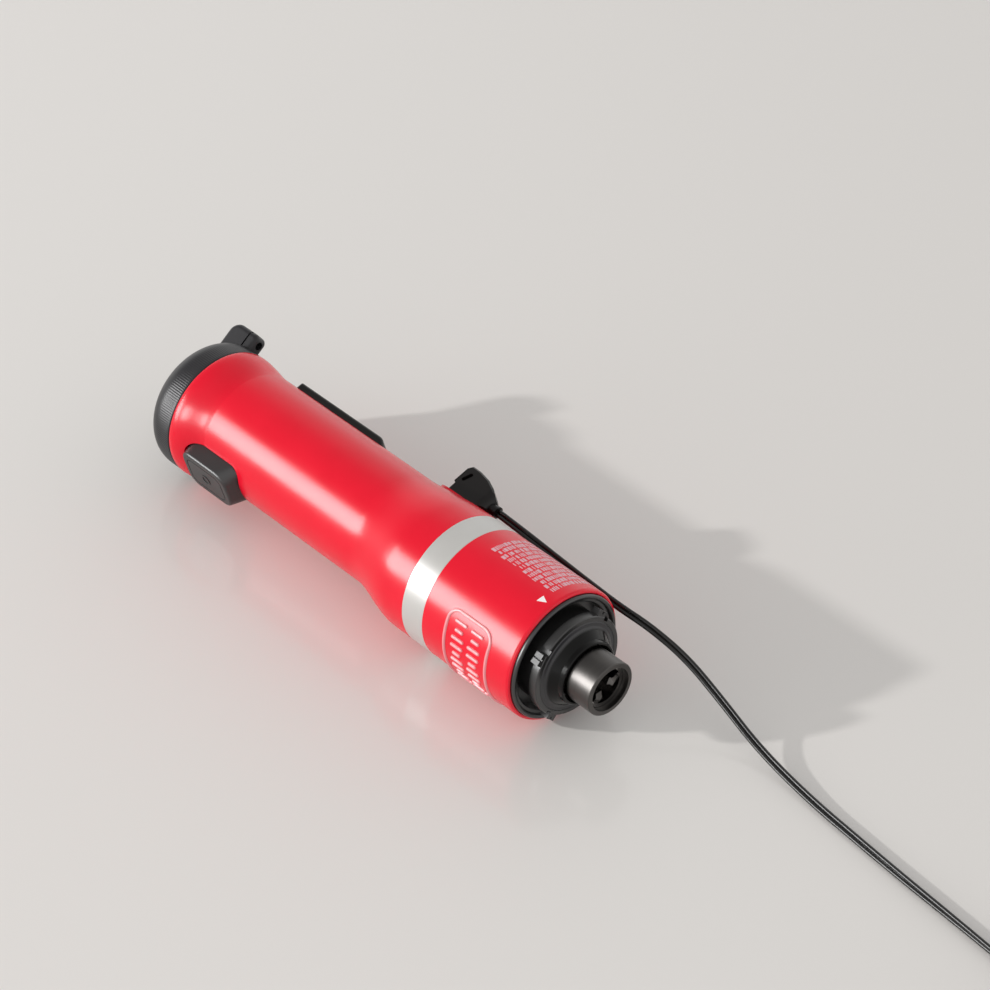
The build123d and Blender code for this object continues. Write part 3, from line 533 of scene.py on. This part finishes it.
def raised_bar(bm, x, s, half_x, half_s):
    """A pillow-topped bar on the skin."""
    corner, bulge, steps = min(half_x, half_s) - 0.01, 0.6, 5
    rings = []
    for i in range(steps + 1):
        a = math.radians(90 * i / steps)
        inset = bulge * (1 - math.cos(a))
        height = SUNK + (BADGE_PROUD - SUNK) * math.sin(a)
        sides = (half_x - inset, half_s - inset, corner - inset)
        outline = rounded_outline(*sides, 5, 5)
        rings.append([bm.verts.new(on_skin(x + u, s + v, height)) for u, v in outline])
    join(bm, rings)
    for ring in (rings[0], rings[-1]):
        count = len(ring)
        for i in range(count // 2 - 1):
            bm.faces.new((ring[i], ring[i + 1], ring[count - 2 - i], ring[count - 1 - i]))


def badge(paint):
    """The frame, and two rows of upright bars in it."""
    bm = bmesh.new()
    frame_ridge(bm)
    bars, pitch, half_wide = 13, 3.7, 0.85
    for row in (-4.7, 4.7):
        for i in range(bars):
            half_long = 2.4 if i % 3 == 1 else 3.6
            raised_bar(bm, row, (i - (bars - 1) / 2) * pitch, half_long, half_wide)
    piece = mesh_object("raised_badge", bm, 50)
    # the badge's paler pink colour is a painted highlight for the sheen on its ridges
    finish_piece(piece, paint["raised_red"], "unit")
    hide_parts("barrel_badge")


PRINT_UNDER = BARREL_R - 0.1
PRINT_TOP = BARREL_R + 0.02
PRINT_ROWS = 12
PRINT_X0 = -41.0
PRINT_PITCH = 3.1
PRINT_FROM = 76.0  # degrees from the trigger side
PRINT_TO = 14.0


def mark(bm, edges):
    """A thin printed mark on the barrel; edges are (x0, x1, angle) across it, in order."""
    rings = []
    for x0, x1, angle in edges:
        corners = ((x0, PRINT_UNDER), (x1, PRINT_UNDER), (x1, PRINT_TOP), (x0, PRINT_TOP))
        rings.append([bm.verts.new(rim(x, r, angle)) for x, r in corners])
    join(bm, rings, capped=True)


def printed_marks(paint):
    """Rows of small bars round the barrel, standing for small print, and an arrow head."""
    chance = random.Random(11)
    bm = bmesh.new()
    for row in range(PRINT_ROWS):
        x = PRINT_X0 + PRINT_PITCH * row
        angle = PRINT_FROM - chance.uniform(0, 3.0)
        stop = PRINT_TO + chance.uniform(0, 9.0)
        while angle > stop:
            long = chance.choice((0.9, 1.3, 1.9, 2.6))
            tall = chance.choice((0.95, 1.1, 1.1, 1.2))
            shift = chance.uniform(-0.12, 0.12)
            mark(bm, [(x - tall + shift, x + tall + shift, angle - i * long / 2) for i in range(3)])
            angle -= long + chance.choice((0.7, 0.7, 0.9, 2.0))
    piece = mesh_object("small_print", bm, 20)
    finish_piece(piece, paint["print"], "unit")

    bm = bmesh.new()
    steps = 12
    tip_x, tip_angle = -3.2, 85.4
    ends = ((-7.3, 89.1), (-7.0, 82.2))
    edges = []
    for i in range(steps + 1):
        t = i / steps
        angle = ends[0][1] + (ends[1][1] - ends[0][1]) * t
        back = ends[0][0] + (ends[1][0] - ends[0][0]) * t
        end = ends[0] if angle > tip_angle else ends[1]
        share = (angle - end[1]) / (tip_angle - end[1])
        front = back + (tip_x - back) * share
        edges.append((back, max(front, back + 0.02), angle))
    mark(bm, edges)
    piece = mesh_object("arrow_head", bm, 20)
    finish_piece(piece, paint["arrow_print"], "unit")


# ---- the lead ----------------------------------------------------------------------------------
# The route of part.py: mm, x and y from where X = 0 meets the axis, z from the table.
LEAD_ROUTE = [
    (-75.5, 34.0, 39.8),
    (-59.8, 33.5, 39.5),
    (-39.8, 32.6, 38.9),
    (-18.8, 31.8, 38.2),
    (-0.8, 32.1, 36.6),
    (13.2, 35.6, 33.0),
    (30.2, 40.1, 24.5),
    (49.2, 41.1, 14.0),
    (73.2, 39.1, 4.6),
    (104.2, 35.3, 1.8),
    (134.2, 32.3, 1.8),
    (162.2, 29.7, 1.8),
    (189.2, 27.7, 1.8),
    (214.2, 25.5, 1.8),
]
TAIL_ROUTE = [
    (252.2, 24.5, 5.6),
    (264.2, 25.0, 7.0),
    (275.2, 25.1, 9.0),
]
COIL_CENTRE = (240.0, 51.6)
COIL_OUTER = 27.2
COIL_INNER = 12.8
LAYER_TURNS = 4
COIL_TURNS = 2 * LAYER_TURNS + 1  # one more to climb from layer to layer
COIL_POINTS = 14  # points in each turn
LAYER = 3.6
STRAND_R = 0.00090
STRAND_APART = 0.00090
WEB_HALF = 0.00020
TURN_FROM = 0.19  # the lead starts to turn onto its edge this far along, in metres
TURN_OVER = 0.12  # and stands on it after this much more
BACK = Vector((0.57577, -0.52516, 0.62664))  # from the unit towards the camera


def coil_route():
    """Inward for four turns on the table, up within one, and outward for four on top."""
    points = []
    total = COIL_TURNS * COIL_POINTS
    swell = 1 / (0.5 + 0.5 * math.cos(math.pi / COIL_POINTS))  # the spline runs inside its points
    for i in range(total + 1):
        turn = i / COIL_POINTS
        inward = min(turn, LAYER_TURNS) / LAYER_TURNS
        outward = max(turn - (LAYER_TURNS + 1), 0.0) / LAYER_TURNS
        r = COIL_OUTER + (COIL_INNER - COIL_OUTER) * (inward - outward)
        rise = min(max(turn - LAYER_TURNS, 0.0), 1.0)
        wobble = 0.25 * math.sin(2.3 * turn * math.pi + 0.7)
        a = math.radians(-90.0) + 2 * math.pi * turn
        reach = (r + (wobble if 0 < i < total else 0)) * swell
        points.append(
            (
                COIL_CENTRE[0] + reach * math.cos(a),
                COIL_CENTRE[1] + reach * math.sin(a),
                LAYER / 2 + LAYER * rise,
            )
        )
    return points


def lead_line():
    """The lead's smooth centreline, as points of a NURBS spline with the route as its frame."""
    route = LEAD_ROUTE + coil_route() + TAIL_ROUTE
    curve = bpy.data.curves.new("lead_line", "CURVE")
    curve.dimensions = "3D"
    curve.resolution_u = 8
    spline = curve.splines.new("NURBS")
    spline.points.add(len(route) - 1)
    for point, (x, y, z) in zip(spline.points, route):
        point.co = (AXIS_X + x / 1000, AXIS_Y + y / 1000, z / 1000, 1)
    spline.order_u = 3
    spline.use_endpoint_u = True
    line = bpy.data.objects.new("lead_line", curve)
    bpy.context.collection.objects.link(line)
    mesh = bpy.data.meshes.new_from_object(line)
    points = [v.co.copy() for v in mesh.vertices]
    bpy.data.objects.remove(line)
    bpy.data.meshes.remove(mesh)
    return points


def twin_section():
    """Two round strands side by side, joined by a thin web."""
    steps = 13
    open_angle = math.degrees(math.asin(WEB_HALF / STRAND_R))
    half = 180 - open_angle
    section = []
    for side in (1, -1):
        for i in range(steps):
            a = math.radians(-half + 2 * half * i / (steps - 1))
            section.append(
                (side * (STRAND_APART + STRAND_R * math.cos(a)), side * STRAND_R * math.sin(a))
            )
    return section


def twin_lead(paint, relief_piece, case_piece):
    """The flat lead: its wide side faces the camera at the unit; it stands on edge when coiled."""
    line = lead_line()
    section = twin_section()
    bm = bmesh.new()
    rings = []
    gone = 0.0
    for i, spot in enumerate(line):
        ahead = line[min(i + 1, len(line) - 1)]
        behind = line[max(i - 1, 0)]
        along = (ahead - behind).normalized()
        gone += (spot - line[i - 1]).length if i else 0
        upright = eased((gone - TURN_FROM) / TURN_OVER)
        facing = BACK.cross(along).normalized()
        wide = facing.lerp(Vector((0, 0, 1)), upright)
        wide = (wide - along * wide.dot(along)).normalized()
        thin = along.cross(wide)
        rings.append([bm.verts.new(spot + wide * a + thin * b) for a, b in section])
    join(bm, rings, capped=True)
    lead = mesh_object("twin_lead", bm, 60)
    finish_piece(lead, paint["cord_black"], "unit")
    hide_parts("charge_cord", "cord_coil", "cord_tail")


# ---- the adapter -------------------------------------------------------------------------------
def adapter_case(paint):
    """The wall adapter's shell, with a parting groove and finger grooves at its lead end."""
    low, high = [Vector(corner) * 1000 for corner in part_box("adapter_case")]
    middle = (low + high) / 2
    half_y, half_z = (high.y - low.y) / 2, (high.z - low.z) / 2
    long = high.x - low.x
    edge, corner, seam = 3.0, 5.0, 27.0
    grooves, first_groove, pitch = 4, 6.0, 2.6
    profile = []
    for i in range(7):
        a = math.radians(15 * i)
        profile.append((edge * (1 - math.cos(a)), edge * (1 - math.sin(a))))
    for groove in range(grooves):
        x = first_groove + pitch * groove
        profile += [(x - 0.75, 0.0), (x - 0.45, 0.38), (x + 0.45, 0.38), (x + 0.75, 0.0)]
    profile += [(seam - 0.35, 0.0), (seam - 0.2, 0.45), (seam + 0.2, 0.45), (seam + 0.35, 0.0)]
    for i in range(7):
        a = math.radians(90 - 15 * i)
        profile.append((long - edge * (1 - math.cos(a)), edge * (1 - math.sin(a))))
    bm = bmesh.new()
    rings = []
    for x, inset in profile:
        sides = (half_y - inset, half_z - inset, max(corner - inset, 1.5))
        outline = rounded_outline(*sides, 8, 3)
        spots = [Vector((low.x + x, middle.y + u, middle.z + v)) / 1000 for u, v in outline]
        rings.append([bm.verts.new(spot) for spot in spots])
    join(bm, rings, capped=True)
    piece = mesh_object("adapter_shell", bm, 25)
    finish_piece(piece, paint["black_satin"], "unit")
    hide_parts("adapter_case")
    return piece


def strain_relief(paint):
    """A ribbed sleeve where the lead enters the adapter."""
    low, high = [Vector(corner) * 1000 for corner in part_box("adapter_relief")]
    middle = (low + high) / 2
    slim, full = 2.4, 3.6
    profile = [(low.x, 0.0), (low.x, slim - 0.3), (low.x + 0.3, slim)]
    ribs = 5
    pitch = (high.x - low.x - 0.6) / ribs
    for i in range(ribs):
        x = low.x + 0.5 + pitch * i
        r = slim + (full - slim) * (x - low.x) / (high.x - low.x)
        profile += [(x + 0.15, r), (x + pitch * 0.62, r + 0.08), (x + pitch * 0.68, r - 0.4)]
        profile += [(x + pitch * 0.96, r - 0.4)]
    profile += [(high.x, full), (high.x, 0.0)]

    def spot(x, r, turn):
        return Vector((x, middle.y + r * math.cos(turn), middle.z + r * math.sin(turn))) / 1000

    bm = bmesh.new()
    lathe(bm, profile, 40, spot)
    piece = mesh_object("ribbed_relief", bm, 30)
    finish_piece(piece, paint["black_satin"], "unit")
    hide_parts("adapter_relief")
    return piece


# ---- the return springs ------------------------------------------------------------------------
# name, joint, x and z of its fixed end, and how much of its length is left when pressed
SPRINGS = (
    ("trigger_spring", "trigger_press", -165.0, 6.5, 0.88),
    ("lock_spring", "thumb_button_press", -197.0, -6.05, 0.83),
)


def return_springs():
    """Each return spring gets its own copy of its mesh."""
    for name, joint, x, z, keep in SPRINGS:
        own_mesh(frame["nodes"][name])


# ---- the scene ---------------------------------------------------------------------------------
def main():
    paint = palette()
    look()
    studio()
    slots = {entry["node"]: entry["material_slot"] for entry in frame["record"]["subparts"]}
    for name, obj in frame["nodes"].items():
        for material_slot in obj.material_slots:
            material_slot.material = paint[FINER.get(name, slots[name])]
    speed_dial(paint)
    badge(paint)
    printed_marks(paint)
    twin_lead(paint, strain_relief(paint), adapter_case(paint))
    return_springs()


main()
